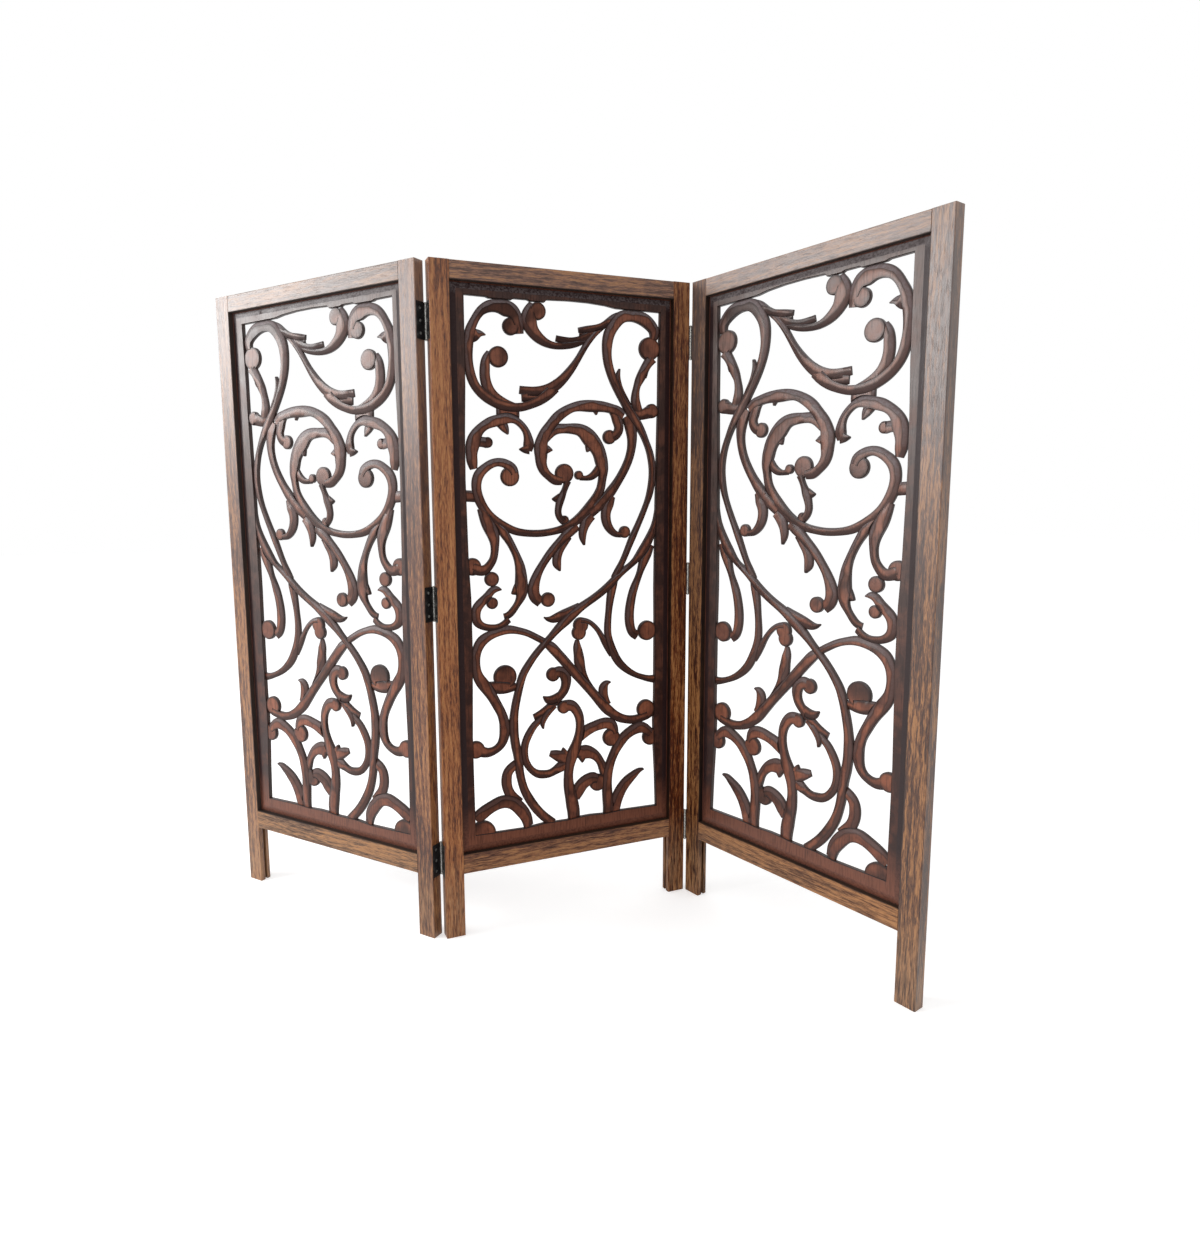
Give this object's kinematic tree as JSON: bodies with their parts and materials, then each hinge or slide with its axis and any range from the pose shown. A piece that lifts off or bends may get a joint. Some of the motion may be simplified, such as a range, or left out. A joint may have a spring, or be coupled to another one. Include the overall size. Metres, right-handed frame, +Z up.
{
  "type": "folding room divider screen",
  "caption": "Folding screen of tall framed wooden panels, each with a pierced and carved scrollwork board, standing zigzag on plain legs and joined by butt hinges.",
  "frame": {"origin": "middle of the standing footprint, at floor level", "axes": "+Z up; +X along the centre panel, to the right seen from its front; +Y from the centre panel's front to its back"},
  "size_m": [0.9875, 0.9209, 1.219],
  "materials": {
    "frame_wood": "satin walnut-brown stain with streaky grain",
    "carved_wood": "satin brown stain with dark hollows and pale rubbed chamfers",
    "hinge_black": "black lacquered steel",
    "pin_steel": "bare steel",
    "screw_steel": "bare steel"
  },
  "bodies": {
    "centre_panel": {"centre_panel_left_stile": "frame_wood", "centre_panel_right_stile": "frame_wood", "centre_panel_top_rail": "frame_wood", "centre_panel_bottom_rail": "frame_wood", "centre_panel_jali_board": "carved_wood", "left_low_hinge_fixed_leaf": "hinge_black", "left_low_hinge_pin": "pin_steel", "left_low_hinge_fixed_screws": "screw_steel", "left_middle_hinge_fixed_leaf": "hinge_black", "left_middle_hinge_pin": "pin_steel", "left_middle_hinge_fixed_screws": "screw_steel", "left_top_hinge_fixed_leaf": "hinge_black", "left_top_hinge_pin": "pin_steel", "left_top_hinge_fixed_screws": "screw_steel", "right_low_hinge_fixed_leaf": "hinge_black", "right_low_hinge_pin": "pin_steel", "right_low_hinge_fixed_screws": "screw_steel", "right_middle_hinge_fixed_leaf": "hinge_black", "right_middle_hinge_pin": "pin_steel", "right_middle_hinge_fixed_screws": "screw_steel", "right_top_hinge_fixed_leaf": "hinge_black", "right_top_hinge_pin": "pin_steel", "right_top_hinge_fixed_screws": "screw_steel"},
    "left_panel": {"left_panel_left_stile": "frame_wood", "left_panel_right_stile": "frame_wood", "left_panel_top_rail": "frame_wood", "left_panel_bottom_rail": "frame_wood", "left_panel_jali_board": "carved_wood", "left_low_hinge_swing_leaf": "hinge_black", "left_low_hinge_swing_screws": "screw_steel", "left_middle_hinge_swing_leaf": "hinge_black", "left_middle_hinge_swing_screws": "screw_steel", "left_top_hinge_swing_leaf": "hinge_black", "left_top_hinge_swing_screws": "screw_steel"},
    "right_panel": {"right_panel_left_stile": "frame_wood", "right_panel_right_stile": "frame_wood", "right_panel_top_rail": "frame_wood", "right_panel_bottom_rail": "frame_wood", "right_panel_jali_board": "carved_wood", "right_low_hinge_swing_leaf": "hinge_black", "right_low_hinge_swing_screws": "screw_steel", "right_middle_hinge_swing_leaf": "hinge_black", "right_middle_hinge_swing_screws": "screw_steel", "right_top_hinge_swing_leaf": "hinge_black", "right_top_hinge_swing_screws": "screw_steel"}
  },
  "joints": [
    {"name": "left_fold", "type": "hinge", "parent": "centre_panel", "child": "left_panel", "pos_m": [-0.16037, 0.06141, 0.61], "axis": [0, 0, 1], "range_deg": [-128, 52]},
    {"name": "right_fold", "type": "hinge", "parent": "centre_panel", "child": "right_panel", "pos_m": [0.34913, 0.03301, 0.61], "axis": [0, 0, 1], "range_deg": [-103.6, 76.4]}
  ]
}
